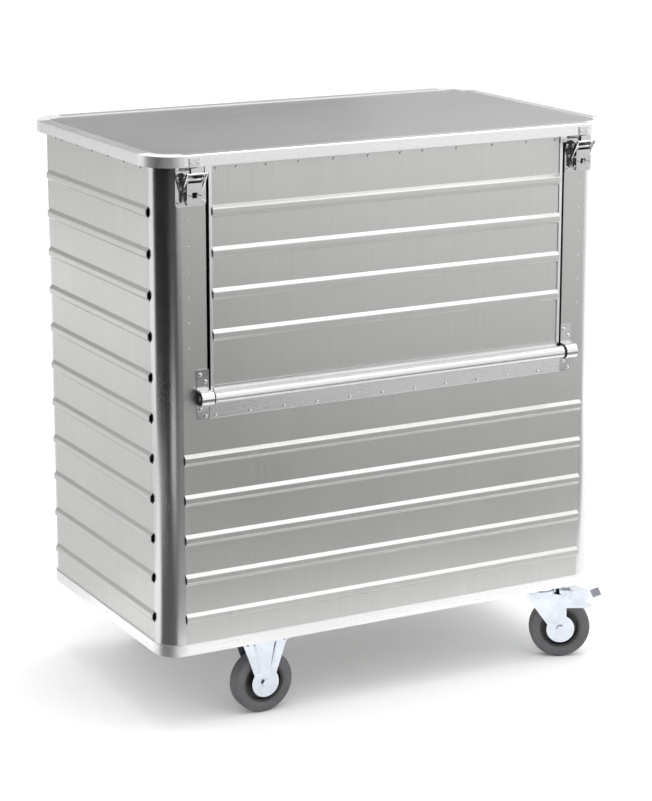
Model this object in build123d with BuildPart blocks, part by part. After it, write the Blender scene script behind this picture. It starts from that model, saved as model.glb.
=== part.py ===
from build123d import *
from math import atan2, degrees
import os

# Closed laundry and housekeeping cart: riveted aluminium body on four casters, with a lid
# hinged at the rear, a drop flap in the upper front and two toggle latches.
# Millimetres. X runs along the long side, the flap faces -Y, Z is up from the floor.

# ---- driving sizes -------------------------------------------------------------------
length = 975            # outer faces of the two end walls
width = 570             # outer faces of the front and rear walls
frame_bottom = 158      # floor to the underside of the base frame
body_height = 940       # underside of the base frame to the lower edge of the lid
corner_radius = 45      # outside of the corner posts

sheet = 1.5             # wall, flap and lid sheet
post_sheet = 2          # corner posts
bead_pitch = 78
bead_count = 11
bead_height = 22
bead_depth = 6
bead_first = 72         # first bead above the underside of the base frame
flap_beads = 4          # beads on the flap, from the top
plain_beads = 2         # places left plain round the flap hinge

band = 2.5              # base frame lip outside the walls
band_height = 22
rail_box = 25           # depth of the base frame's hollow part inside the walls
rail_wall = 2.5
floor_sheet = 2

lid_overhang = 19       # lid skirt outside the wall faces
lid_skirt = 22.3
lid_flange = 24
lid_wall = 2
lid_gap = 0.3           # lid panel above the rim of the body

jamb_width = 94.5       # end wall face to the jamb's edge
flap_gap = 6            # flap edge to jamb
flap_top_gap = 1        # flap under the lid skirt
hinge_height = 503.5    # flap hinge axis above the underside of the base frame
hinge_out = 13.2        # flap hinge axis outside the wall face
roll_radius = 12.5
rod_radius = 5
running = 0.05          # radial clearance of pins and shafts
strap_width = 25
strap_inset = 2         # strap edge inside the jamb's edge
edge_trim = 6           # visible width of the flap's edge profiles

latch_width = 62
latch_height = 74
latch_inset = 64        # end wall face to the latch centre line
lever_half = 15.5
catch_half = 10.5

lid_axis_height = -6    # lid hinge axis from the skirt's lower edge
lid_axis_out = 27       # lid hinge axis outside the rear wall face
lid_hinge_width = 80
lid_hinge_inset = 157.5 # end wall face to the middle of an outer hinge

wheel_radius = 62.5
tyre_width = 32
core_radius = 41.5
axle_radius = 6
cheek = 2.5             # fork cheeks
cheek_gap = 2.5         # tyre side to cheek
plate_length = 105
plate_width = 80
plate_sheet = 4
bolt_grid = (80, 60)
bolt_radius = 4
caster_inset = 47       # side wall face to the caster centre line
fixed_inset = 225.5     # left end wall face to the fixed casters
corner_clear = 2        # swivel caster plate to the corner of the base frame
trail = 40              # kingpin to wheel axle
swivel_angles = {"front": -26, "rear": 24}

# ---- derived sizes -------------------------------------------------------------------
half_x = length / 2
half_y = width / 2
run_x = half_x - corner_radius          # half length of the straight long sides
run_y = half_y - corner_radius
frame_top = frame_bottom + band_height
sheet_foot = frame_bottom + rail_wall + 0.5
floor_top = frame_top - 4
floor_low = floor_top - floor_sheet
skirt_low = frame_bottom + body_height
lid_top = skirt_low + lid_skirt
panel_low = lid_top - lid_wall - sheet
rim = panel_low - lid_gap
bead_levels = [frame_bottom + bead_first + bead_pitch * i for i in range(bead_count)]
lower_beads = bead_levels[:bead_count - flap_beads - plain_beads]
upper_beads = bead_levels[bead_count - flap_beads:]
axis_z = frame_bottom + hinge_height
lower_top = axis_z - 4.5                # top edge of the fixed front sheet
jamb_edge = half_x - jamb_width
flap_half = jamb_edge - flap_gap
flap_top = skirt_low - flap_top_gap
flap_low = axis_z + 5.5
lid_axis_z = skirt_low + lid_axis_height
latch_place = half_x - latch_inset
lid_hinge_places = (lid_hinge_inset - half_x, 0, half_x - lid_hinge_inset)
caster_side = half_y - caster_inset
fixed_x = fixed_inset - half_x
swivel_x = run_x - plate_length / 2 - corner_clear
wheel_z = wheel_radius
rivet_radius = 3.2
rivet_head = 1.6
strap_rivet = 4         # rivets of the hinge straps and the latch plates

OUT = {
    "front": Vector(0, -1, 0),
    "rear": Vector(0, 1, 0),
    "left": Vector(-1, 0, 0),
    "right": Vector(1, 0, 0),
}
FACE = {"front": half_y, "rear": half_y, "left": half_x, "right": half_x}
RUN = {"front": run_x, "rear": run_x, "left": run_y, "right": run_y}
CORNERS = [(-1, -1), (1, -1), (-1, 1), (1, 1)]

os.makedirs("parts", exist_ok=True)


def save(builder, name):
    builder.part.label = name
    export_step(builder.part, f"parts/{name}.step")


def side_plane(side, start):
    """Plane across a wall: x is the distance outside the wall face, y the height.
    It stands at start along the wall, and its normal runs along the wall."""
    out = OUT[side]
    along = out.cross(Vector(0, 0, 1))
    return Plane(out * FACE[side] + along * start, x_dir=out, z_dir=along)


def wall_plane(side, out=0):
    """Plane of a wall face, moved out: x runs along the wall, y is the height."""
    along = Vector(0, 0, 1).cross(OUT[side])
    return Plane(OUT[side] * (FACE[side] + out), x_dir=along, z_dir=OUT[side])


def block(low, high):
    """Rectangle between two corners of the current sketch plane."""
    with Locations(((low[0] + high[0]) / 2, (low[1] + high[1]) / 2)):
        Rectangle(abs(high[0] - low[0]), abs(high[1] - low[1]))


def link_bar(start, end, half):
    """Flat link with round ends between two points of the current sketch plane."""
    reach = Vector(*end) - Vector(*start)
    middle = (Vector(*start) + Vector(*end)) / 2
    with Locations(Location(middle, degrees(atan2(reach.Y, reach.X)))):
        SlotCenterToCenter(reach.length, 2 * half)


def beaded(levels, low, high):
    """Section of a beaded sheet between two heights, outer face at x = 0."""
    foot = bead_height / 2
    flat = foot - bead_depth
    slip = sheet * 0.4142
    corners = ((0, -foot), (bead_depth, -flat), (bead_depth, flat), (0, foot))
    outer = [(0, low)]
    inner = [(-sheet, low)]
    for z in levels:
        for across, up in corners:
            shift = slip if up < 0 else -slip
            outer.append((across, z + up))
            inner.append((across - sheet, z + up + shift))
    outer.append((0, high))
    inner.append((-sheet, high))
    root, crest = 1.5, 3
    radii = [root, crest, crest, root] * len(levels)
    back = [crest, root, root, crest] * len(levels)
    with BuildLine() as outline:
        FilletPolyline(*outer, radius=radii)
        FilletPolyline(*inner, radius=back)
        Line(outer[0], inner[0])
        Line(outer[-1], inner[-1])
    make_face(outline.edges())


def rivets(side, places, out=0, radius=rivet_radius, head=rivet_head):
    """Low rivet heads standing on a wall face, in the current part."""
    plane = wall_plane(side, out)
    for x, z in places:
        spot = Plane(plane.from_local_coords(Vector(x, z, 0)), x_dir=plane.z_dir, z_dir=plane.x_dir)
        with BuildSketch(spot) as dome:
            with BuildLine():
                Polyline(
                    (0, 0),
                    (head, 0),
                    (head, radius * 0.4),
                    (head * 0.62, radius * 0.82),
                    (0, radius),
                    close=True,
                )
            make_face()
        revolve(dome.sketch, axis=Axis(spot.origin, spot.x_dir))


# ---- base frame ----------------------------------------------------------------------
def rail_section(slot):
    """Frame rail: outer lip, slot for the sheet, hollow box that carries the floor."""
    with BuildLine() as outline:
        Polyline(
            (band, frame_bottom),
            (band, frame_top),
            (0, frame_top),
            (0, sheet_foot),
            (-slot, sheet_foot),
            (-slot, floor_low),
            (-rail_box, floor_low),
            (-rail_box, frame_bottom),
            close=True,
        )
    make_face(outline.edges())
    inside_low = (-slot - rail_wall, frame_bottom + rail_wall)
    inside_high = (-rail_box + rail_wall, floor_low - rail_wall)
    with Locations(((inside_low[0] + inside_high[0]) / 2, (inside_low[1] + inside_high[1]) / 2)):
        Rectangle(
            inside_low[0] - inside_high[0],
            inside_high[1] - inside_low[1],
            mode=Mode.SUBTRACT,
        )


caster_places = [(x, y * caster_side) for x in (fixed_x, swivel_x) for y in (-1, 1)]


def bolt_holes(low, depth):
    """Clearance holes for the caster bolts, upwards from a height."""
    with BuildSketch(Plane.XY.offset(low)) as holes:
        with Locations(*caster_places):
            with GridLocations(*bolt_grid, 2, 2):
                Circle(bolt_radius + 0.2)
    extrude(holes.sketch, amount=depth, mode=Mode.SUBTRACT)


def corner_plane(sx, sy):
    """Upright plane through a corner's centre: x = 0 lies on the outer face of the post."""
    centre = Vector(sx * run_x, sy * run_y, 0)
    return Plane(centre + Vector(sx * corner_radius, 0, 0), x_dir=(sx, 0, 0), z_dir=(0, -sx, 0))


def corner_axis(sx, sy):
    """Post centre line, pointing so that a 90 degree turn runs from the end to the side."""
    return Axis((sx * run_x, sy * run_y, 0), (0, 0, sx * sy))


with BuildPart() as frame_side_rails:
    for side in ("front", "rear"):
        with BuildSketch(side_plane(side, -run_x)):
            rail_section(sheet)
        extrude(amount=2 * run_x)
    bolt_holes(frame_bottom, rail_wall + 1)
save(frame_side_rails, "frame_side_rails")

with BuildPart() as frame_end_rails:
    for side in ("left", "right"):
        with BuildSketch(side_plane(side, -run_y)):
            rail_section(sheet)
        extrude(amount=2 * run_y)
save(frame_end_rails, "frame_end_rails")

with BuildPart() as frame_corners:
    for sx, sy in CORNERS:
        with BuildSketch(corner_plane(sx, sy)):
            rail_section(post_sheet)
        revolve(axis=corner_axis(sx, sy), revolution_arc=90)
save(frame_corners, "frame_corners")

floor_inset = sheet + post_sheet + 0.5
with BuildPart() as floor_panel:
    with BuildSketch(Plane.XY.offset(floor_low)):
        RectangleRounded(
            length - 2 * floor_inset, width - 2 * floor_inset, corner_radius - floor_inset
        )
    extrude(amount=floor_sheet)
save(floor_panel, "floor_panel")

bearer_width = plate_length
bearer_height = floor_low - frame_bottom
with BuildPart() as caster_bearers:
    for x in (fixed_x, swivel_x):
        start = half_y - rail_box
        with BuildSketch(Plane.XZ.offset(-start)):
            with Locations((x, frame_bottom + bearer_height / 2)):
                Rectangle(bearer_width, bearer_height)
                Rectangle(bearer_width - 5, bearer_height - 5, mode=Mode.SUBTRACT)
        extrude(amount=2 * start)
    bolt_holes(frame_bottom, rail_wall + 1)
save(caster_bearers, "caster_bearers")

# ---- corner posts --------------------------------------------------------------------
post_flange = 25
post_lap = 4            # flange carried round into the bend
for name, sy in (("front", -1), ("rear", 1)):
    with BuildPart() as posts:
        for sx in (-1, 1):
            cx, cy = sx * run_x, sy * run_y
            with BuildSketch(Plane.XY.offset(sheet_foot)):
                with Locations((cx, cy)):
                    Circle(corner_radius)
                    Circle(corner_radius - post_sheet, mode=Mode.SUBTRACT)
                with Locations((cx + sx * corner_radius / 2, cy + sy * corner_radius / 2)):
                    Rectangle(corner_radius, corner_radius, mode=Mode.INTERSECT)
            extrude(amount=rim - sheet_foot)
            with BuildSketch(Plane.XY.offset(floor_top)):
                depth = corner_radius - sheet - post_sheet / 2
                with Locations((cx - sx * (post_flange - post_lap) / 2, cy + sy * depth)):
                    Rectangle(post_flange + post_lap, post_sheet)
                with Locations((cx + sx * depth, cy - sy * (post_flange - post_lap) / 2)):
                    Rectangle(post_sheet, post_flange + post_lap)
            extrude(amount=rim - floor_top)
    save(posts, f"corner_posts_{name}")

# ---- walls ---------------------------------------------------------------------------
for side in ("left", "right", "rear"):
    with BuildPart() as wall:
        with BuildSketch(side_plane(side, -RUN[side])):
            beaded(bead_levels, sheet_foot, rim)
        extrude(amount=2 * RUN[side])
    save(wall, f"wall_{side}")

with BuildPart() as wall_front_lower:
    with BuildSketch(side_plane("front", -run_x)):
        beaded(lower_beads, sheet_foot, lower_top)
    extrude(amount=2 * run_x)
save(wall_front_lower, "wall_front_lower")

jamb_return = 20
with BuildPart() as flap_jambs:
    with BuildSketch(Plane.XY.offset(lower_top)):
        for sx in (-1, 1):
            block((sx * jamb_edge, -half_y), (sx * run_x, -half_y + sheet))
            block((sx * jamb_edge, -half_y), (sx * (jamb_edge + sheet), -half_y + jamb_return))
    extrude(amount=rim - lower_top)
save(flap_jambs, "flap_jambs")

rail_depth = 18
rail_height = 26
with BuildPart() as top_rails:
    for side in ("left", "right", "rear"):
        reach = RUN[side] - post_flange - 0.5
        with BuildSketch(side_plane(side, -reach)):
            block((-sheet, rim - rail_height), (-sheet - 2, rim))
            block((-sheet, rim - 2), (-rail_depth, rim))
        extrude(amount=2 * reach)
save(top_rails, "top_rails")

sill_height = 20
with BuildPart() as sill_rail:
    reach = run_x - post_flange - 0.5
    with BuildSketch(side_plane("front", -reach)):
        block((-sheet, lower_top - sill_height), (-rail_depth, lower_top - 0.5))
        with Locations((-(sheet + rail_depth) / 2, lower_top - sill_height / 2 - 0.25)):
            Rectangle(rail_depth - sheet - 4, sill_height - 4.5, mode=Mode.SUBTRACT)
    extrude(amount=2 * reach)
save(sill_rail, "sill_rail")

# ---- flap hinge, fixed half ----------------------------------------------------------
leaf_low = axis_z - 43.5
leaf_high = axis_z - roll_radius - 2
leaf = 3
with BuildPart() as flap_hinge_leaf_fixed:
    with BuildSketch(side_plane("front", -(flap_half + 3))):
        block((0, leaf_low), (leaf, leaf_high))
    extrude(amount=2 * (flap_half + 3))
    fillet(flap_hinge_leaf_fixed.edges().filter_by(Axis.X).group_by(Axis.Y)[0], 1.2)
save(flap_hinge_leaf_fixed, "flap_hinge_leaf_fixed")

strap_in = jamb_edge - strap_inset
strap_out = strap_in + strap_width
strap_low = axis_z - 43.5
strap_high = axis_z + 52.5
strap = 2.5
bush_radius = roll_radius + 0.5


def bush_section(grow):
    """Outline of the end bush, square at the wall and round at the front."""
    with Locations((hinge_out, axis_z)):
        Circle(bush_radius + grow)
    block((0, axis_z - bush_radius - grow), (hinge_out, axis_z + bush_radius + grow))


with BuildPart() as flap_hinge_straps:
    for sx in (-1, 1):
        with BuildSketch(side_plane("front", -sx * (strap_in + strap_out) / 2)):
            block((0, strap_low), (strap, strap_high))
            bush_section(strap)
            with Locations((hinge_out, axis_z)):
                Circle(bush_radius, mode=Mode.SUBTRACT)
            with Locations((hinge_out / 2, axis_z)):
                Rectangle(hinge_out, 2 * bush_radius, mode=Mode.SUBTRACT)
            with Locations((-5, axis_z)):
                Rectangle(10, 4 * bush_radius, mode=Mode.SUBTRACT)
        extrude(amount=strap_width / 2, both=True)
save(flap_hinge_straps, "flap_hinge_straps")

with BuildPart() as flap_hinge_bushes:
    for sx in (-1, 1):
        inner = flap_half + 1
        with BuildSketch(side_plane("front", -sx * (inner + strap_out) / 2)):
            bush_section(0)
            with Locations((hinge_out, axis_z)):
                Circle(rod_radius + running, mode=Mode.SUBTRACT)
        extrude(amount=(strap_out - inner) / 2, both=True)
save(flap_hinge_bushes, "flap_hinge_bushes")

with BuildPart() as flap_hinge_rod:
    with BuildSketch(side_plane("front", -(strap_out - 1))):
        with Locations((hinge_out, axis_z)):
            Circle(rod_radius)
    extrude(amount=2 * (strap_out - 1))
save(flap_hinge_rod, "flap_hinge_rod")

# ---- flap ----------------------------------------------------------------------------
trim_leg = 2
flap_flat = flap_half - trim_leg
with BuildPart() as flap_panel:
    with BuildSketch(side_plane("front", -(flap_half - edge_trim))):
        beaded(upper_beads, flap_low, flap_top)
    extrude(amount=2 * (flap_half - edge_trim))
    with BuildSketch(Plane.XY.offset(flap_low)):
        for sx in (-1, 1):
            block((sx * (flap_half - edge_trim - 1), -half_y), (sx * flap_flat, -half_y + sheet))
    extrude(amount=flap_top - flap_low)
save(flap_panel, "flap_panel")

with BuildPart() as flap_edge_profiles:
    with BuildSketch(Plane.XY.offset(flap_low + 9)):
        for sx in (-1, 1):
            block(
                (sx * (flap_half - edge_trim), -half_y - trim_leg),
                (sx * flap_half, -half_y + sheet + trim_leg),
            )
        for sx in (-1, 1):
            with Locations((sx * (flap_half - edge_trim + flap_flat) / 2, -half_y + sheet / 2)):
                Rectangle(edge_trim - trim_leg, sheet, mode=Mode.SUBTRACT)
    extrude(amount=flap_top - flap_low - 9)
save(flap_edge_profiles, "flap_edge_profiles")

back_half = flap_half - edge_trim - 0.5     # rails behind the flap, between its edge profiles
tab_height = 14         # stop tabs in front of the latch plates
latch_edge = latch_place - latch_width / 2
with BuildPart() as flap_top_rail:
    with BuildSketch(side_plane("front", -back_half)):
        block((-sheet, flap_top - 27), (-sheet - 2, flap_top))
        block((-sheet, flap_top - 2), (-rail_depth, flap_top))
    extrude(amount=2 * back_half)
    for sx in (-1, 1):
        with BuildSketch(Plane.XY.offset(flap_top - tab_height)):
            block(
                (sx * (flap_half - edge_trim), -half_y - trim_leg),
                (sx * (latch_edge + 2.5), -half_y - trim_leg - 1.5),
            )
        extrude(amount=tab_height)
save(flap_top_rail, "flap_top_rail")

lip = 2.5               # leg of the hinge profile on the outside of the flap
lip_height = 14
flute = 0.9             # lengthwise grooves in the front of the roll
flutes = (0, 47)
with BuildPart() as flap_hinge_roll:
    with BuildSketch(side_plane("front", -back_half)):
        block((-sheet, flap_low - 3), (-sheet - 2, flap_low + 33))
        block((-sheet - 2, flap_low - 3), (6, flap_low))
        block((0, flap_low), (lip, flap_low + lip_height))
    extrude(amount=2 * back_half)
    with BuildSketch(side_plane("front", -flap_half)):
        with Locations((hinge_out, axis_z)):
            Circle(roll_radius)
    extrude(amount=2 * flap_half)
    with BuildSketch(side_plane("front", -flap_half - 1)):
        with Locations((hinge_out, axis_z)):
            Circle(rod_radius + running)
            for angle in flutes:
                with Locations(Location((0, 0), angle)):
                    with Locations((roll_radius, 0)):
                        Circle(flute)
    extrude(amount=2 * flap_half + 2, mode=Mode.SUBTRACT)
save(flap_hinge_roll, "flap_hinge_roll")

# ---- lid -----------------------------------------------------------------------------
def lid_section():
    """Lid rail: skirt and top flange, with a rounded outer edge."""
    edge = 2.5
    with BuildLine() as outline:
        Line((lid_overhang, skirt_low), (lid_overhang, lid_top - edge))
        ThreePointArc(
            (lid_overhang, lid_top - edge),
            (lid_overhang - edge * 0.2929, lid_top - edge * 0.2929),
            (lid_overhang - edge, lid_top),
        )
        Polyline(
            (lid_overhang - edge, lid_top),
            (lid_overhang - lid_flange, lid_top),
            (lid_overhang - lid_flange, lid_top - lid_wall),
            (lid_overhang - lid_wall, lid_top - lid_wall),
            (lid_overhang - lid_wall, skirt_low),
            (lid_overhang, skirt_low),
        )
    make_face(outline.edges())


with BuildPart() as lid_side_rails:
    for side in ("front", "rear"):
        with BuildSketch(side_plane(side, -run_x)):
            lid_section()
        extrude(amount=2 * run_x)
save(lid_side_rails, "lid_side_rails")

with BuildPart() as lid_end_rails:
    for side in ("left", "right"):
        with BuildSketch(side_plane(side, -run_y)):
            lid_section()
        extrude(amount=2 * run_y)
save(lid_end_rails, "lid_end_rails")

with BuildPart() as lid_corners:
    for sx, sy in CORNERS:
        with BuildSketch(corner_plane(sx, sy)):
            lid_section()
        revolve(axis=corner_axis(sx, sy), revolution_arc=90)
save(lid_corners, "lid_corners")

panel_reach = lid_overhang - lid_wall
with BuildPart() as lid_panel:
    with BuildSketch(Plane.XY.offset(panel_low)):
        RectangleRounded(
            length + 2 * panel_reach, width + 2 * panel_reach, corner_radius + panel_reach
        )
    extrude(amount=sheet)
save(lid_panel, "lid_panel")

# ---- lid hinges ----------------------------------------------------------------------
hinge_sheet = 2.5
knuckle = 5
pin_radius = 2.5
middle = 30             # width of the fixed knuckle
knuckle_gap = 0.5


def knuckle_ring(x, wide):
    """Turn the current part's bar round the lid hinge axis into a bored knuckle."""
    for radius, mode in ((knuckle, Mode.ADD), (pin_radius + running, Mode.SUBTRACT)):
        with BuildSketch(side_plane("rear", x - wide / 2)) as ring:
            with Locations((lid_axis_out, lid_axis_z)):
                Circle(radius)
        extrude(ring.sketch, amount=wide, mode=mode)


with BuildPart() as lid_hinge_leaves_fixed:
    for x in lid_hinge_places:
        with BuildSketch(side_plane("rear", x - lid_hinge_width / 2)):
            block((0, lid_axis_z - 45), (hinge_sheet, lid_axis_z - 2))
        extrude(amount=lid_hinge_width)
        with BuildSketch(side_plane("rear", x - middle / 2)):
            block((0, lid_axis_z - 5), (lid_axis_out, lid_axis_z - 2))
        extrude(amount=middle)
        knuckle_ring(x, middle)
save(lid_hinge_leaves_fixed, "lid_hinge_leaves_fixed")

ear = (lid_hinge_width - middle) / 2 - knuckle_gap
ear_place = middle / 2 + knuckle_gap + ear / 2
with BuildPart() as lid_hinge_leaves_moving:
    for x in lid_hinge_places:
        with BuildSketch(side_plane("rear", x - lid_hinge_width / 2)):
            block((lid_overhang, skirt_low + 0.5), (lid_overhang + hinge_sheet, lid_top - 3))
        extrude(amount=lid_hinge_width)
        for sx in (-1, 1):
            with BuildSketch(side_plane("rear", x + sx * ear_place - ear / 2)):
                block((lid_overhang, lid_axis_z - 2.5), (lid_overhang + hinge_sheet, skirt_low + 1))
                block((lid_overhang, lid_axis_z - 2.5), (lid_axis_out, lid_axis_z))
            extrude(amount=ear)
            knuckle_ring(x + sx * ear_place, ear)
save(lid_hinge_leaves_moving, "lid_hinge_leaves_moving")

with BuildPart() as lid_hinge_pins:
    for x in lid_hinge_places:
        with BuildSketch(side_plane("rear", x - lid_hinge_width / 2)):
            with Locations((lid_axis_out, lid_axis_z)):
                Circle(pin_radius)
        extrude(amount=lid_hinge_width)
save(lid_hinge_pins, "lid_hinge_pins")

# ---- latches -------------------------------------------------------------------------
latch_plate = 1.5
latch_top = skirt_low - 1.5
pivot = (19.5, skirt_low - 23)          # lever pivot: outside the wall face, height
link = (8, skirt_low - 45)              # bail pivot inside the lever
bar = (30.2, skirt_low - 11.6)          # bail bar, hanging in front of the catch
pivot_radius = 2.2
link_radius = 1.5
bar_radius = 1.75
base_ear_in = lever_half + 0.7
base_ear = 2
bail_in = base_ear_in + base_ear + 0.6
bail_sheet = 2
lever_sheet = 1.5
lever_low = latch_top - 68

for name, sx in (("left", -1), ("right", 1)):
    centre = sx * latch_place
    with BuildPart() as latch_base:
        with BuildSketch(wall_plane("front")):
            with Locations((centre, latch_top - latch_height / 2)):
                RectangleRounded(latch_width, latch_height, 7)
        extrude(amount=latch_plate)
        for ex in (-1, 1):
            with BuildSketch(side_plane("front", -(centre + ex * (base_ear_in + base_ear / 2)))):
                with BuildLine():
                    Polyline(
                        (0.5, latch_top - 54),
                        (5, latch_top - 52),
                        (5, pivot[1] - 14),
                        (pivot[0] - 4, pivot[1] - 5.2),
                        (pivot[0] + 4, pivot[1] - 5.2),
                        (pivot[0] + 4, pivot[1] + 5.2),
                        (10, latch_top - 12),
                        (0.5, latch_top - 10),
                        close=True,
                    )
                make_face()
                with Locations(pivot):
                    Circle(5.4)
            extrude(amount=base_ear / 2, both=True)
        with BuildSketch(side_plane("front", -(centre + bail_in))):
            with Locations(pivot):
                Circle(pivot_radius + running)
        extrude(amount=2 * bail_in, mode=Mode.SUBTRACT)
    save(latch_base, f"latch_base_{name}")

    with BuildPart() as latch_lever:
        front = pivot[0]
        with BuildSketch(side_plane("front", -(centre + lever_half))):
            with BuildLine():
                Polyline(
                    (5, pivot[1] - 12),
                    (5, lever_low + 14),
                    (10, lever_low),
                    (front, lever_low),
                    (front, pivot[1] + 4.4),
                    (front - 6, pivot[1] + 4.4),
                    close=True,
                )
            make_face()
            with Locations(pivot):
                Circle(4.4)
        extrude(amount=2 * lever_half)
        with BuildSketch(side_plane("front", -(centre + lever_half - lever_sheet))):
            block((-5, lever_low - 5), (front - lever_sheet, pivot[1] + 10))
        extrude(amount=2 * (lever_half - lever_sheet), mode=Mode.SUBTRACT)
        with BuildSketch(wall_plane("front", pivot[0] - lever_sheet - 0.5)):
            with Locations((centre, pivot[1])):
                Rectangle(2 * (lever_half - lever_sheet), 13)
        extrude(amount=10, mode=Mode.SUBTRACT)
        with BuildSketch(wall_plane("front", pivot[0] - lever_sheet - 1)):
            with Locations((centre, pivot[1] - 29)):
                Rectangle(10.5, 10.5)
        extrude(amount=5, mode=Mode.SUBTRACT)
        with BuildSketch(side_plane("front", -(centre + bail_in))):
            with Locations(pivot):
                Circle(pivot_radius + running)
            with Locations(link):
                Circle(link_radius + running)
        extrude(amount=2 * bail_in, mode=Mode.SUBTRACT)
    save(latch_lever, f"latch_lever_{name}")

    with BuildPart() as latch_bail:
        for ex in (-1, 1):
            place = centre + ex * (bail_in + bail_sheet / 2)
            with BuildSketch(side_plane("front", -place)):
                link_bar(link, bar, 2.6)
            extrude(amount=bail_sheet / 2, both=True)
        for spot, radius in ((bar, bar_radius), (link, link_radius)):
            with BuildSketch(side_plane("front", -(centre + bail_in))):
                with Locations(spot):
                    Circle(radius)
            extrude(amount=2 * bail_in)
    save(latch_bail, f"latch_bail_{name}")

with BuildPart() as latch_pivots:
    for sx in (-1, 1):
        with BuildSketch(side_plane("front", -(sx * latch_place + base_ear_in + base_ear))):
            with Locations(pivot):
                Circle(pivot_radius)
        extrude(amount=2 * (base_ear_in + base_ear))
save(latch_pivots, "latch_pivots")

catch = 1.8
catch_out = lid_overhang + 9
catch_low = skirt_low - 12
with BuildPart() as lid_catches:
    for sx in (-1, 1):
        with BuildSketch(side_plane("front", -(sx * latch_place + catch_half))):
            with BuildLine():
                Polyline(
                    (lid_overhang, lid_top - 6),
                    (lid_overhang, catch_low),
                    (catch_out, catch_low),
                    (catch_out, skirt_low - 1),
                    (catch_out - catch, skirt_low - 1),
                    (catch_out - catch, catch_low + catch),
                    (lid_overhang + catch, catch_low + catch),
                    (lid_overhang + catch, lid_top - 6),
                    close=True,
                )
            make_face()
        extrude(amount=2 * catch_half)
    fillet(lid_catches.edges().filter_by(Axis.X).group_by(Axis.Z)[0], 1.2)
save(lid_catches, "lid_catches")


# ---- rivets --------------------------------------------------------------------------
def stepped(first, last, pitch):
    """Places from first, a pitch apart, up to last."""
    return [first + pitch * i for i in range(int((last - first) / pitch) + 1)]


rim_rivets = rim - 28
end_pitch = 75.9
rear_pitch = 66.6
leaf_pitch = 71.5
# rivets along the top of the flap, from its two edges inwards
flap_rivets_left = (15, 57, 119, 187, 261, 335)
flap_rivets_right = (17, 84, 163, 244, 319, 369)
with BuildPart() as body_rivets:
    for side in ("left", "right"):
        row = stepped(34 - run_y, run_y - 34, end_pitch) + [run_y - 34]
        rivets(side, [(y if side == "right" else -y, rim_rivets) for y in row])
    clear = lid_hinge_width / 2 + 8
    row = stepped(42.5 - run_x, run_x - 42, rear_pitch)
    between = [x for x in row if all(abs(x - h) > clear for h in lid_hinge_places)]
    rivets("rear", [(x, rim_rivets) for x in between])
    row = stepped(9 - flap_half, flap_half - 9, leaf_pitch)
    rivets("front", [(x, axis_z - 37) for x in row], leaf)
    for sx in (-1, 1):
        strap_place = sx * (strap_in + strap_out) / 2
        for z in (axis_z - 30, axis_z + 36):
            for step in (-1, 1):
                spot = (strap_place + 5.5 * step, z - 7 * step)
                rivets("front", [spot], strap, strap_rivet)
        for ex in (-1, 1):
            for z in (latch_top - 21, latch_top - latch_height + 9):
                rivets("front", [(sx * latch_place + ex * 25, z)], latch_plate, strap_rivet)
    for x in lid_hinge_places:
        rivets("rear", [(x + dx, lid_axis_z - 30) for dx in (-28, 0, 28)], hinge_sheet)
save(body_rivets, "body_rivets")

with BuildPart() as flap_rivets:
    row = [x - flap_half for x in flap_rivets_left] + [flap_half - x for x in flap_rivets_right]
    rivets("front", [(x, flap_top - 8) for x in row], 0, 2.6, 1.4)
save(flap_rivets, "flap_rivets")

with BuildPart() as lid_rivets:
    for sx in (-1, 1):
        spots = [(sx * latch_place + dx, skirt_low + 8) for dx in (-6.5, 6.5)]
        rivets("front", spots, lid_overhang + catch, 2.4)
    for x in lid_hinge_places:
        spots = [(x + dx, skirt_low + 10) for dx in (-28, 0, 28)]
        rivets("rear", spots, lid_overhang + hinge_sheet, 2.8)
save(lid_rivets, "lid_rivets")

# ---- casters -------------------------------------------------------------------------
plate_low = frame_bottom - plate_sheet
cheek_in = tyre_width / 2 + cheek_gap
cheek_out = cheek_in + cheek
disc = 29               # round foot of the fork cheeks
race = 29               # swivel race on the mounting plate
crown = 33              # top of the swivel fork
collar = 11             # end of the kingpin
crown_low = wheel_z + 77
crown_top = plate_low - 7.7
race_gap = 0.5
pedal_pivot = (19, wheel_z + 65.6)
pedal_pin_radius = 3
pedal_sheet = 2
pedal_in = cheek_out + 0.8
pedal_out = pedal_in + pedal_sheet
axle_head = 5
axle_hex = 8.5
bolt_hex = 7


def turned_plane(x, y, z, angle):
    """Level plane at a point, turned about the vertical."""
    return Plane(origin=(x, y, z), z_dir=(0, 0, 1)).rotated((0, 0, angle))


def cheek_plane(x, y, angle, across):
    """Plane of a fork cheek: x runs from the kingpin to the wheel, y is the height."""
    turned = turned_plane(x, y, 0, angle)
    return Plane(turned.origin - turned.y_dir * across, x_dir=turned.x_dir, z_dir=-turned.y_dir)


def wheel_plane(x, y, angle):
    """Plane through a wheel centre: x along the axle, y straight up."""
    turned = turned_plane(x, y, wheel_z, angle)
    return Plane(turned.origin, x_dir=turned.y_dir, z_dir=turned.x_dir)


def mount_plate(x, y):
    """Top plate with its four bolt holes."""
    with BuildSketch(Plane.XY.offset(plate_low)) as plate:
        with Locations((x, y)):
            RectangleRounded(plate_length, plate_width, 6)
            with GridLocations(*bolt_grid, 2, 2):
                Circle(bolt_radius + 0.2, mode=Mode.SUBTRACT)
    extrude(plate.sketch, amount=plate_sheet)


def cross_bar(plane, spot, radius, reach, mode=Mode.ADD):
    """Round bar, or a bore, square to a plane and reaching as far on both sides of it."""
    with BuildSketch(plane) as bar_end:
        with Locations(spot):
            Circle(radius)
    extrude(bar_end.sketch, amount=reach, both=True, mode=mode)


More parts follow.
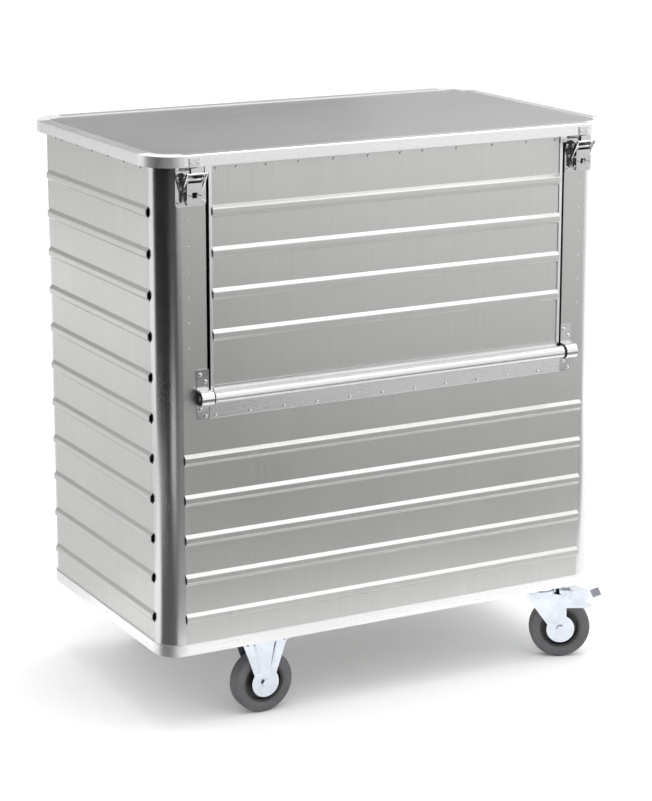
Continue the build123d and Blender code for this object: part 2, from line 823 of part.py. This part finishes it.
def upright(x, y, radius, low, high, mode=Mode.ADD):
    """Round bar, or a bore, about a vertical line."""
    with BuildSketch(Plane.XY.offset(low)) as bar_end:
        with Locations((x, y)):
            Circle(radius)
    extrude(bar_end.sketch, amount=high - low, mode=mode)


def fork_cheeks(x, y, angle, outline):
    """Two cheeks of one outline with their round feet, bored for the axle."""
    for side in (-1, 1):
        with BuildSketch(cheek_plane(x, y, angle, side * (cheek_in + cheek / 2))) as shape:
            with BuildLine():
                Polyline(*outline, close=True)
            make_face()
            with Locations((0, wheel_z)):
                Circle(disc)
                Circle(axle_radius, mode=Mode.SUBTRACT)
        extrude(shape.sketch, amount=cheek / 2, both=True)


def wheel(x, y, angle, name):
    """Tyre, core and axle of one wheel."""
    plane = wheel_plane(x, y, angle)
    turn = Axis(plane.origin, plane.x_dir)
    half = tyre_width / 2
    with BuildPart() as tyre:
        with BuildSketch(plane):
            with BuildLine():
                FilletPolyline(
                    (half - 2, core_radius),
                    (half, core_radius + 5),
                    (half, wheel_radius),
                    (-half, wheel_radius),
                    (-half, core_radius + 5),
                    (2 - half, core_radius),
                    radius=[2, 7, 7, 2],
                )
                Line((2 - half, core_radius), (half - 2, core_radius))
            make_face()
        revolve(axis=turn)
    save(tyre, f"tyre_{name}")

    hub = half + 1
    bore = axle_radius + running
    with BuildPart() as core:
        with BuildSketch(plane):
            with BuildLine():
                Polyline(
                    (-hub, bore),
                    (-hub, 14),
                    (-6, 15),
                    (-6, 36),
                    (-13, 37),
                    (-13, core_radius),
                    (13, core_radius),
                    (13, 37),
                    (6, 36),
                    (6, 15),
                    (hub, 14),
                    (hub, bore),
                    close=True,
                )
            make_face()
        revolve(axis=turn)
    save(core, f"wheel_core_{name}")


def axle(x, y, angle):
    """Axle with a hexagon head on one end and a nut on the other."""
    plane = wheel_plane(x, y, angle)
    for start, direction, reach, hexagon in (
        (-cheek_out, 1, 2 * cheek_out, False),
        (cheek_out, 1, axle_head, True),
        (-cheek_out, -1, axle_head, True),
    ):
        spot = Plane(plane.origin + plane.x_dir * start, x_dir=plane.z_dir, z_dir=plane.x_dir * direction)
        with BuildSketch(spot) as end:
            if hexagon:
                RegularPolygon(axle_hex, 6)
            else:
                Circle(axle_radius)
        extrude(end.sketch, amount=reach)


with BuildPart() as fixed_forks:
    for sy in (-1, 1):
        y = sy * caster_side
        mount_plate(fixed_x, y)
        fork_cheeks(fixed_x, y, 0, [
            (-50, plate_low + 0.5),
            (50, plate_low + 0.5),
            (22, wheel_z + 12),
            (22, wheel_z),
            (-22, wheel_z),
            (-22, wheel_z + 12),
        ])
save(fixed_forks, "fixed_forks")

with BuildPart() as fixed_axles:
    for sy in (-1, 1):
        axle(fixed_x, sy * caster_side, 0)
save(fixed_axles, "fixed_axles")

with BuildPart() as swivel_heads:
    for sy in (-1, 1):
        y = sy * caster_side
        mount_plate(swivel_x, y)
        upright(swivel_x, y, race, crown_top + race_gap, plate_low + 0.5)
        upright(swivel_x, y, axle_radius, crown_low - 5, crown_top + race_gap + 0.5)
        upright(swivel_x, y, collar, crown_low - 5.5, crown_low - 0.3)
save(swivel_heads, "swivel_heads")

for name, sy in (("front", -1), ("rear", 1)):
    y = sy * caster_side
    wheel(fixed_x, y, 0, f"fixed_{name}")
    angle = swivel_angles[name]
    turned = turned_plane(swivel_x, y, 0, angle)
    hub_x = (turned.origin + turned.x_dir * trail).X
    hub_y = (turned.origin + turned.x_dir * trail).Y
    middle_plane = cheek_plane(hub_x, hub_y, angle, 0)

    with BuildPart() as swivel_fork:
        fork_cheeks(hub_x, hub_y, angle, [
            (-trail - 38, wheel_z + 80),
            (-24, wheel_z + 5),
            (12, wheel_z + 5),
            (12, wheel_z + 45),
            (51, wheel_z + 45),
            (64, wheel_z + 48),
            (62, wheel_z + 54),
            (30, wheel_z + 70),
            (-14, wheel_z + 76),
            (-16, wheel_z + 80),
        ])
        with BuildSketch(middle_plane):
            block((-trail - 38, crown_low), (-16, wheel_z + 80))
        extrude(amount=cheek_out, both=True)
        upright(swivel_x, y, crown, crown_low, crown_top)
        upright(swivel_x, y, axle_radius + running, crown_low - 5, crown_top + 5, Mode.SUBTRACT)
        cross_bar(middle_plane, pedal_pivot, pedal_pin_radius, pedal_out + 1)
    save(swivel_fork, f"swivel_fork_{name}")

    with BuildPart() as swivel_axle:
        axle(hub_x, hub_y, angle)
    save(swivel_axle, f"swivel_axle_{name}")

    with BuildPart() as brake_pedal:
        with BuildSketch(middle_plane):
            with BuildLine():
                Polyline(
                    (-4, wheel_z + 83),
                    (28, wheel_z + 80.5),
                    (66, wheel_z + 66),
                    (84, wheel_z + 73),
                    (83.2, wheel_z + 75),
                    (66.2, wheel_z + 68.4),
                    (28.5, wheel_z + 82.7),
                    (-4, wheel_z + 85.2),
                    close=True,
                )
            make_face()
        extrude(amount=pedal_out, both=True)
        for side in (-1, 1):
            with BuildSketch(cheek_plane(hub_x, hub_y, angle, side * (pedal_in + pedal_out) / 2)):
                with BuildLine():
                    Polyline(
                        (-4, wheel_z + 84),
                        (28, wheel_z + 81.5),
                        (62, wheel_z + 68.5),
                        (58, wheel_z + 65),
                        (30, wheel_z + 62),
                        (24, wheel_z + 59),
                        (14, wheel_z + 59),
                        (6, wheel_z + 70),
                        (-4, wheel_z + 79),
                        close=True,
                    )
                make_face()
            extrude(amount=pedal_sheet / 2, both=True)
        bore = pedal_pin_radius + running
        cross_bar(middle_plane, pedal_pivot, bore, pedal_out + 1, Mode.SUBTRACT)
    save(brake_pedal, f"brake_pedal_{name}")
    wheel(hub_x, hub_y, angle, f"swivel_{name}")

bolt_head = 5
with BuildPart() as caster_bolts:
    with BuildSketch(Plane.XY.offset(plate_low - bolt_head)):
        with Locations(*caster_places):
            with GridLocations(*bolt_grid, 2, 2):
                RegularPolygon(bolt_hex, 6)
    extrude(amount=bolt_head)
    with BuildSketch(Plane.XY.offset(plate_low - 1)):
        with Locations(*caster_places):
            with GridLocations(*bolt_grid, 2, 2):
                Circle(bolt_radius)
    extrude(amount=floor_low - rail_wall - plate_low)
save(caster_bolts, "caster_bolts")
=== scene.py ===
import math

import bmesh
import bpy
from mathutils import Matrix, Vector


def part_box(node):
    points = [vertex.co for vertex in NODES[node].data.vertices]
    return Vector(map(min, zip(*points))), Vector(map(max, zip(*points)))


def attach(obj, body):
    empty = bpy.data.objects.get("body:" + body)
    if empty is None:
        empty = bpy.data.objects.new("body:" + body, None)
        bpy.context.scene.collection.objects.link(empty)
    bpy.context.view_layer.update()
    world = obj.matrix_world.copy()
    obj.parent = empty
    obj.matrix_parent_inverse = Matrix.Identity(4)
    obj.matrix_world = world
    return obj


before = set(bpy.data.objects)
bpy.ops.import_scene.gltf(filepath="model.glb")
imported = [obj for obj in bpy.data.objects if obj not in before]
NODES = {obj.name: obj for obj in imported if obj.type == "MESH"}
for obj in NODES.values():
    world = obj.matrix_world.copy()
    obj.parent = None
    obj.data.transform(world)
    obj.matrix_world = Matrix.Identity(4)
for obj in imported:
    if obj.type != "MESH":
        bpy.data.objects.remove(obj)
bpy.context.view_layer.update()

scene = bpy.context.scene
scene.view_settings.view_transform = "Standard"

# ---- sizes that the pieces share -------------------------------------------------------
frame_low, frame_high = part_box("frame_side_rails")
wall_low, wall_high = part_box("wall_left")
post_low, post_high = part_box("corner_posts_front")
HALF_X = post_high.x
HALF_Y = -post_low.y
CORNER = 0.045          # outside radius of the corner posts
RUN_X = HALF_X - CORNER
RUN_Y = HALF_Y - CORNER
FRAME_Z = frame_low.z
BEAD_PITCH = 0.078
BEAD_FIRST = FRAME_Z + 0.072
RIM = wall_high.z
CHEEK_GAP = 0.0025      # tyre side to fork cheek
CHEEK = 0.0025          # thickness of a fork cheek


# ---- materials -------------------------------------------------------------------------
MIDDLE = (0.35, 0.65)   # the part of a noise's range that carries most of its values


class Shade:
    """A node material being built round one Principled shader, in the part's own coordinates."""

    def __init__(self, name, colour, metallic, roughness):
        self.material = bpy.data.materials.new(name)
        self.material.use_nodes = True
        self.tree = self.material.node_tree
        self.tree.nodes.clear()
        out = self.node("ShaderNodeOutputMaterial")
        self.shader = self.node("ShaderNodeBsdfPrincipled")
        self.join(self.shader.outputs[0], out.inputs["Surface"])
        self.place = self.node("ShaderNodeTexCoord").outputs["Object"]
        self.shader.inputs["Base Color"].default_value = (*colour, 1)
        self.shader.inputs["Metallic"].default_value = metallic
        self.shader.inputs["Roughness"].default_value = roughness

    def node(self, kind, **values):
        made = self.tree.nodes.new(kind)
        for key, value in values.items():
            setattr(made, key, value)
        return made

    def blend(self, a, b, share):
        """Weighted mean of two values, with this share of the first."""
        return self.combine(
            "ADD",
            self.combine("MULTIPLY", a, share),
            self.combine("MULTIPLY", b, round(1 - share, 6)),
        )

    def join(self, a, b):
        self.tree.links.new(a, b)

    def noise(self, scale, detail=3.0, rough=0.5, shift=0.0):
        """Noise stretched by a scale for each axis, in features per metre."""
        spread = self.node("ShaderNodeMapping")
        spread.inputs["Scale"].default_value = scale
        spread.inputs["Location"].default_value = (shift, shift * 1.7, shift * 0.6)
        self.join(self.place, spread.inputs["Vector"])
        made = self.node("ShaderNodeTexNoise")
        made.inputs["Scale"].default_value = 1.0
        made.inputs["Detail"].default_value = detail
        made.inputs["Roughness"].default_value = rough
        self.join(spread.outputs[0], made.inputs["Vector"])
        return made.outputs["Fac"]

    def span(self, value, low, high, start, end):
        """Map a value from start..end to low..high."""
        made = self.node("ShaderNodeMapRange")
        made.inputs["From Min"].default_value = start
        made.inputs["From Max"].default_value = end
        made.inputs["To Min"].default_value = low
        made.inputs["To Max"].default_value = high
        self.join(value, made.inputs["Value"])
        return made.outputs[0]

    def combine(self, kind, a, b):
        """Arithmetic on two values, each a socket or a number."""
        made = self.node("ShaderNodeMath", operation=kind)
        for socket, value in zip(made.inputs, (a, b)):
            if isinstance(value, (int, float)):
                socket.default_value = value
            else:
                self.join(value, socket)
        return made.outputs[0]

    def tint(self, factor, dark, light):
        """Base colour between two colours."""
        made = self.node("ShaderNodeMix", data_type="RGBA")
        colours = {"A": dark, "B": light}
        for socket in made.inputs:
            if socket.type == "RGBA":
                socket.default_value = (*colours[socket.name], 1)
        self.join(factor, made.inputs["Factor"])
        result = [socket for socket in made.outputs if socket.type == "RGBA"][0]
        self.join(result, self.shader.inputs["Base Color"])

    def roughness(self, value):
        """Roughness driven by a value."""
        self.join(value, self.shader.inputs["Roughness"])

    def bump(self, height, distance):
        """Fine relief of this depth in metres."""
        made = self.node("ShaderNodeBump")
        made.inputs["Distance"].default_value = distance
        made.inputs["Strength"].default_value = 1.0
        self.join(height, made.inputs["Height"])
        self.join(made.outputs[0], self.shader.inputs["Normal"])

    def vary(self, value, colour, grain, rough, spread):
        """Colour and gloss that change together: darker where rougher."""
        dark, light = shades(colour, grain)
        self.tint(self.span(value, 0.0, 1.0, *MIDDLE), dark, light)
        self.roughness(self.span(value, rough + spread, rough - spread, *MIDDLE))


def shades(colour, amount):
    """A darker and a lighter shade of a colour."""
    return tuple(c * (1 - amount) for c in colour), tuple(min(1.0, c * (1 + amount)) for c in colour)


def rolled_metal(name, colour, rough, along, spread=0.05, grain=0.035, relief=0.00002, mottle=3.0):
    """Rolled, drawn or brushed metal: streaks along one axis over a slow cloudiness."""
    shade = Shade(name, colour, 1.0, rough)
    fine = [420.0] * 3
    broad = [90.0] * 3
    fine[along] = 9.0
    broad[along] = 2.5
    streak = shade.noise(fine, 2.0, 0.6)
    band = shade.noise(broad, 2.0, 0.5, 3.1)
    cloud = shade.noise([mottle] * 3, 3.0, 0.55, 7.3)
    texture = shade.blend(streak, band, 0.7)
    shade.vary(shade.blend(texture, cloud, 0.6), colour, grain, rough, spread)
    shade.bump(streak, relief)
    return shade.material


def cast_metal(name, colour, rough, spread=0.06, grain=0.06, size=60.0, relief=0.00003):
    """Plated or pressed metal: small isotropic spangle and slight unevenness."""
    shade = Shade(name, colour, 1.0, rough)
    spangle = shade.noise([size] * 3, 4.0, 0.6)
    cloud = shade.noise([12.0] * 3, 2.0, 0.5, 2.2)
    shade.vary(shade.blend(spangle, cloud, 0.6), colour, grain, rough, spread)
    shade.bump(spangle, relief)
    return shade.material


def plastic(name, colour, rough, size=900.0, relief=0.00004, grain=0.12):
    """Moulded plastic or rubber with a fine grain."""
    shade = Shade(name, colour, 0.0, rough)
    pores = shade.noise([size] * 3, 3.0, 0.6)
    cloud = shade.noise([35.0] * 3, 2.0, 0.5, 5.0)
    dark, light = shades(colour, grain)
    shade.tint(shade.span(cloud, 0.0, 1.0, *MIDDLE), dark, light)
    shade.roughness(shade.span(pores, rough + 0.08, rough - 0.05, *MIDDLE))
    shade.bump(pores, relief)
    return shade.material


SHEET = (0.63, 0.63, 0.62)
BRIGHT = (0.9, 0.9, 0.9)
X, Y, Z = 0, 1, 2
look = {
    "sheet_upright": rolled_metal("sheet_upright", SHEET, 0.34, Z),
    "sheet_jamb": rolled_metal("sheet_jamb", (0.57, 0.57, 0.56), 0.34, Z),
    "sheet_lid": rolled_metal("sheet_lid", (0.56, 0.56, 0.56), 0.32, X, mottle=2.0),
    "sheet_floor": rolled_metal("sheet_floor", SHEET, 0.42, X),
    "post": rolled_metal("post", (0.68, 0.68, 0.68), 0.24, Z, spread=0.04, grain=0.03),
    "profile_x": rolled_metal("profile_x", BRIGHT, 0.28, X, spread=0.05, grain=0.03),
    "profile_y": rolled_metal("profile_y", BRIGHT, 0.28, Y, spread=0.05, grain=0.03),
    "profile_z": rolled_metal("profile_z", BRIGHT, 0.28, Z, spread=0.05, grain=0.03),
    # hinge roll: a darker copy of the bright profile metal, its lower base colour is painted shade that
    # tones down its reflection of the overhead glow
    "roll": rolled_metal("roll", (0.7, 0.7, 0.7), 0.24, X, spread=0.05, grain=0.03),
    "corner": cast_metal("corner", (0.9, 0.9, 0.91), 0.46, relief=0.00001),
    "rivet": cast_metal("rivet", (0.72, 0.72, 0.72), 0.3, size=300.0),
    "latch": cast_metal("latch", (0.74, 0.74, 0.75), 0.12, spread=0.05, size=160.0, relief=0.00001),
    "zinc": cast_metal("zinc", (0.72, 0.76, 0.82), 0.2, spread=0.08, grain=0.08, size=45.0),
    "tyre": plastic("tyre", (0.095, 0.095, 0.1), 0.55),
    "core": plastic("core", (0.02, 0.02, 0.021), 0.42),
    "bush": plastic("bush", (0.012, 0.012, 0.012), 0.5),
}

# which look each carried-over node takes
finish = {
    "frame_side_rails": "profile_x",
    "frame_end_rails": "profile_y",
    "frame_corners": "corner",
    "floor_panel": "sheet_floor",
    "caster_bearers": "profile_y",
    "corner_posts_front": "post",
    "corner_posts_rear": "post",
    "wall_left": "sheet_upright",
    "wall_right": "sheet_upright",
    "wall_rear": "sheet_upright",
    "wall_front_lower": "sheet_upright",
    "flap_jambs": "sheet_jamb",
    "flap_panel": "sheet_upright",
    "flap_edge_profiles": "profile_z",
    "flap_top_rail": "profile_x",
    "flap_hinge_roll": "roll",
    "flap_hinge_leaf_fixed": "profile_x",
    "flap_hinge_straps": "latch",
    "flap_hinge_bushes": "bush",
    "flap_hinge_rod": "zinc",
    "top_rails": "profile_x",
    "sill_rail": "profile_x",
    "lid_side_rails": "profile_x",
    "lid_end_rails": "profile_y",
    "lid_corners": "corner",
    "lid_panel": "sheet_lid",
    "lid_hinge_leaves_fixed": "zinc",
    "lid_hinge_leaves_moving": "zinc",
    "lid_hinge_pins": "zinc",
    "lid_catches": "latch",
    "latch_pivots": "latch",
}
for name, node in NODES.items():
    if name in finish:
        kind = finish[name]
    elif "rivets" in name:
        kind = "rivet"
    elif name.startswith("tyre"):
        kind = "tyre"
    elif name.startswith("wheel_core"):
        kind = "core"
    elif name.startswith("latch"):
        kind = "latch"
    else:
        kind = "zinc"
    if not node.material_slots:
        node.data.materials.append(look[kind])
    for slot in node.material_slots:
        slot.material = look[kind]


# ---- small pieces ----------------------------------------------------------------------
def finish_piece(name, shape, kind, body):
    """Make the shape a smooth piece with this look, riding on its body."""
    bmesh.ops.recalc_face_normals(shape, faces=shape.faces)
    mesh = bpy.data.meshes.new(name)
    shape.to_mesh(mesh)
    shape.free()
    piece = bpy.data.objects.new(name, mesh)
    scene.collection.objects.link(piece)
    mesh.materials.append(look[kind])
    for face in mesh.polygons:
        face.use_smooth = True
    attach(piece, body)


def skin(shape, low, high):
    """Faces between two closed rings of points; a ring of one point is a tip."""
    steps = max(len(low), len(high))
    for k in range(steps):
        after = (k + 1) % steps
        if len(low) == 1:
            shape.faces.new((low[0], high[after], high[k]))
        elif len(high) == 1:
            shape.faces.new((low[k], low[after], high[0]))
        else:
            shape.faces.new((low[k], low[after], high[after], high[k]))


def turned_stud(shape, origin, out, profile, steps):
    """Solid turned about the direction out, from (radius, height) pairs that start and end on the axis."""
    normal = Vector(out).normalized()
    side = normal.orthogonal().normalized()
    third = normal.cross(side)
    rings = []
    for radius, height in profile:
        centre = Vector(origin) + normal * height
        ring = []
        for k in range(steps if radius else 1):
            turn = 2 * math.pi * k / steps
            spoke = side * math.cos(turn) + third * math.sin(turn)
            ring.append(shape.verts.new(centre + spoke * radius))
        rings.append(ring)
    for low, high in zip(rings, rings[1:]):
        skin(shape, low, high)


CLINCH = [(0, -0.0003), (0.0014, -0.0003), (0.00119, 0.00028), (0, 0.0004)]
DOME = [(0, -0.0004), (0.0021, -0.0004), (0.0019, 0.0004), (0.0011, 0.0008), (0, 0.0009)]
DIMPLE = [(0, -0.0004), (0.0014, -0.0004), (0.0012, 0.0003), (0.0005, 0.0005), (0, 0.0002)]


def studs(name, places, out, profile, steps, kind, body):
    """One piece made of equal studs at these places."""
    shape = bmesh.new()
    for place in places:
        turned_stud(shape, place, out, profile, steps)
    finish_piece(name, shape, kind, body)


def clinch_marks(name, places, out):
    """Small clinch points pressed through the cart's sheets."""
    studs(name, places, out, CLINCH, 8, "rivet", "cart")


def between_beads(low, high):
    """Heights of the flats between beads: four points to a flat, 15 mm apart."""
    heights = []
    level = BEAD_FIRST - BEAD_PITCH / 2
    while level < high:
        for step in (-1.5, -0.5, 0.5, 1.5):
            z = level + step * 0.015
            if low < z < high:
                heights.append(z)
        level += BEAD_PITCH
    return heights


MARK_INSET = 0.006      # clinch marks inside the end of the straight run
flats = between_beads(FRAME_Z + 0.03, RIM - 0.06)
clinch_marks("clinch_marks_left", [(-HALF_X, MARK_INSET - RUN_Y, z) for z in flats], (-1, 0, 0))
clinch_marks("clinch_marks_right", [(HALF_X, MARK_INSET - RUN_Y, z) for z in flats], (1, 0, 0))
sill_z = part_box("wall_front_lower")[1].z
lower_flats = [z for z in flats if z < sill_z - 0.02]
front_places = [(sx * (RUN_X - MARK_INSET), -HALF_Y, z) for sx in (-1, 1) for z in lower_flats]
clinch_marks("clinch_marks_front", front_places, (0, -1, 0))

# a column of small studs down each jamb, beside the corner post
STUD_INSET = 0.013
STUD_TOP = 0.996
STUD_PITCH = 0.048
jamb_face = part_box("flap_jambs")[0].y
stud_heights = [STUD_TOP - STUD_PITCH * k for k in range(6)]
stud_places = [(sx * (RUN_X - STUD_INSET), jamb_face, z) for sx in (-1, 1) for z in stud_heights]
studs("jamb_studs", stud_places, (0, -1, 0), DOME, 12, "rivet", "cart")

# two flush studs, one on each side of the square hole of a latch lever
HOLE_TO_STUD = 0.0095
HOLE_DROP = 0.0335      # top of the lever to the middle of its hole
for side in ("left", "right"):
    low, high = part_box("latch_lever_" + side)
    middle = (low.x + high.x) / 2
    places = [(middle + dx, low.y, high.z - HOLE_DROP) for dx in (-HOLE_TO_STUD, HOLE_TO_STUD)]
    studs("lever_studs_" + side, places, (0, -1, 0), DIMPLE, 10, "core", "lever_" + side)


def swage(shape, foot, head, out, half, rise):
    """Low ridge pressed in a plate, faired into it at both ends."""
    foot, head, out = Vector(foot), Vector(head), Vector(out)
    across = (head - foot).cross(out).normalized()
    section = [(-1, -0.3), (-0.62, 0.45), (-0.25, 0.9), (0.25, 0.9), (0.62, 0.45), (1, -0.3)]
    rings = []
    for share, swell in ((0, 0.05), (0.03, 0.6), (0.08, 1), (0.92, 1), (0.97, 0.6), (1, 0.05)):
        spot = foot.lerp(head, share)
        ring = []
        for side, up in section:
            lift = up * swell if up > 0 else up
            reach = across * half * side * (0.4 + 0.6 * swell)
            ring.append(shape.verts.new(spot + reach + out * rise * lift))
        rings.append(ring)
    for low, high in zip(rings, rings[1:]):
        skin(shape, low, high)
    shape.faces.new(rings[0][::-1])
    shape.faces.new(rings[-1])


# pressed ridges down the outside of the fixed forks' cheeks
RIDGE_FOOT = (0.0125, 0.084)       # from the fork's middle, and height
RIDGE_HEAD = (0.0235, 0.012)       # from the fork's middle, and under its top plate
RIDGE_HALF = 0.0034
RIDGE_RISE = 0.0016
fork_low, fork_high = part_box("fixed_forks")
fork_x = (fork_low.x + fork_high.x) / 2
shape = bmesh.new()
for name in ("front", "rear"):
    tyre_low, tyre_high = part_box("tyre_fixed_" + name)
    middle = (tyre_low.y + tyre_high.y) / 2
    cheek_out = (tyre_high.y - tyre_low.y) / 2 + CHEEK_GAP + CHEEK
    for side in (-1, 1):
        face = middle + side * cheek_out
        for sx in (-1, 1):
            foot = (fork_x + sx * RIDGE_FOOT[0], face, RIDGE_FOOT[1])
            head = (fork_x + sx * RIDGE_HEAD[0], face, fork_high.z - RIDGE_HEAD[1])
            swage(shape, foot, head, (0, side, 0), RIDGE_HALF, RIDGE_RISE)
finish_piece("fork_ridges", shape, "zinc", "cart")


# ---- floor, light and camera -----------------------------------------------------------
def matte(name, tone):
    """Dull grey without any gloss."""
    material = bpy.data.materials.new(name)
    material.use_nodes = True
    shader = material.node_tree.nodes["Principled BSDF"]
    shader.inputs["Base Color"].default_value = (tone, tone, tone, 1)
    shader.inputs["Roughness"].default_value = 1
    shader.inputs["Specular IOR Level"].default_value = 0
    return material


def glow(name, strength):
    """White light of an even strength."""
    material = bpy.data.materials.new(name)
    material.use_nodes = True
    tree = material.node_tree
    tree.nodes.clear()
    out = tree.nodes.new("ShaderNodeOutputMaterial")
    lamp = tree.nodes.new("ShaderNodeEmission")
    lamp.inputs["Color"].default_value = (1, 1, 1, 1)
    lamp.inputs["Strength"].default_value = strength
    tree.links.new(lamp.outputs[0], out.inputs["Surface"])
    return material


def sheet_object(name, centre, wide, tall, facing, material):
    """Flat rectangle centred at a point, its normal along facing."""
    shape = bmesh.new()
    corners = [(-1, -1), (1, -1), (1, 1), (-1, 1)]
    shape.faces.new([shape.verts.new((sx * wide / 2, sy * tall / 2, 0)) for sx, sy in corners])
    mesh = bpy.data.meshes.new(name)
    shape.to_mesh(mesh)
    shape.free()
    made = bpy.data.objects.new(name, mesh)
    scene.collection.objects.link(made)
    made.location = centre
    made.rotation_euler = Vector(facing).to_track_quat("Z", "Y").to_euler()
    mesh.materials.append(material)
    return made


def card(name, centre, wide, tall, facing, tone):
    """Reflection card: seen only in glossy surfaces."""
    made = sheet_object(name, centre, wide, tall, facing, glow(name, tone))
    made.visible_camera = False
    made.visible_diffuse = False
    made.visible_shadow = False
    made.visible_transmission = False
    made.visible_volume_scatter = False


def soft_light(name, place, target, wide, tall, power):
    """Rectangular lamp that points at a target."""
    data = bpy.data.lights.new(name, "AREA")
    data.shape = "RECTANGLE"
    data.size = wide
    data.size_y = tall
    data.energy = power
    light = bpy.data.objects.new(name, data)
    scene.collection.objects.link(light)
    light.location = place
    light.rotation_euler = (Vector(target) - Vector(place)).to_track_quat("-Z", "Y").to_euler()


FLOOR_WIDTH = 90
UP = (0, 0, 1)
sheet_object("studio_floor", (0, 0, 0), FLOOR_WIDTH, FLOOR_WIDTH, UP, matte("studio_floor", 0.93))

world = bpy.data.worlds.new("studio")
scene.world = world
world.use_nodes = True
sky = world.node_tree.nodes["Background"]
sky.inputs["Color"].default_value = (1, 1, 1, 1)
sky.inputs["Strength"].default_value = 1.2

soft_light("overhead", (0.5, -0.3, 3.4), (0, 0, 0.6), 3.6, 3.0, 55)

# what the bright metal mirrors, each card with its centre, width, height, facing and tone
card("top_glow", (0.3, -1.6, 3.0), 4.0, 3.0, (0, 0.35, -1), 1.55)
card("right_glow", (1.9, -0.2, 0.6), 2.6, 1.3, (-1, 0, 0), 1.6)
# the dark band down the front left post
card("dark_left", (-2.05, -0.85, 1.0), 3.2, 2.0, (1.0, 0.28, 0), 0.015)
card("dark_camera", (-1.3, -2.6, 0.9), 2.2, 1.8, (0.4, 1.0, 0), 0.05)
# in the front and the left wall: cards that lie on the floor, nearer ones for lower parts
LYING = 0.006
card("dark_floor_left", (-1.25, -0.9, LYING), 1.3, 1.6, UP, 0.12)
card("floor_near", (1.3, -1.15, LYING), 4.0, 0.7, UP, 0.4)
card("floor_mid_left", (-0.2, -2.05, LYING), 1.6, 1.1, UP, 0.2)
card("floor_mid_right", (1.9, -2.0, LYING), 2.6, 1.0, UP, 0.36)
card("floor_far_left", (0.2, -4.8, LYING), 2.4, 4.4, UP, 0.2)
card("floor_far_right", (3.1, -4.75, LYING), 3.4, 4.4, UP, 0.66)
card("floor_back_left", (-1.4, 1.8, LYING), 1.8, 2.6, UP, 0.86)
# in the lid: cards that stand far behind it
BACK = 5.0
card("back_low", (-1.0, BACK, 0.6), 9.0, 1.4, (0, -1, 0), 0.62)
card("back_left", (-0.1, BACK, 2.8), 6.0, 3.0, (0, -1, 0), 0.38)
card("back_right", (6.4, BACK, 2.8), 7.0, 3.0, (0, -1, 0), 0.58)

# a long lens above and to the left of the flap, tilted down at the cart
LONG_SIDE = 801         # picture height; the focal length and the shift are in the same units
FOCAL = 2466.6
SHIFT = -80
TILT = 12.704
TURN = 28.271
camera_data = bpy.data.cameras.new("camera")
camera = bpy.data.objects.new("camera", camera_data)
scene.collection.objects.link(camera)
scene.camera = camera
camera_data.sensor_width = 36
camera_data.lens = FOCAL / LONG_SIDE * camera_data.sensor_width
camera_data.shift_y = SHIFT / LONG_SIDE
camera_data.clip_end = 200
camera.location = (-2.308, -4.312, 1.810)
camera.rotation_euler = (math.radians(90 - TILT), 0, math.radians(-TURN))
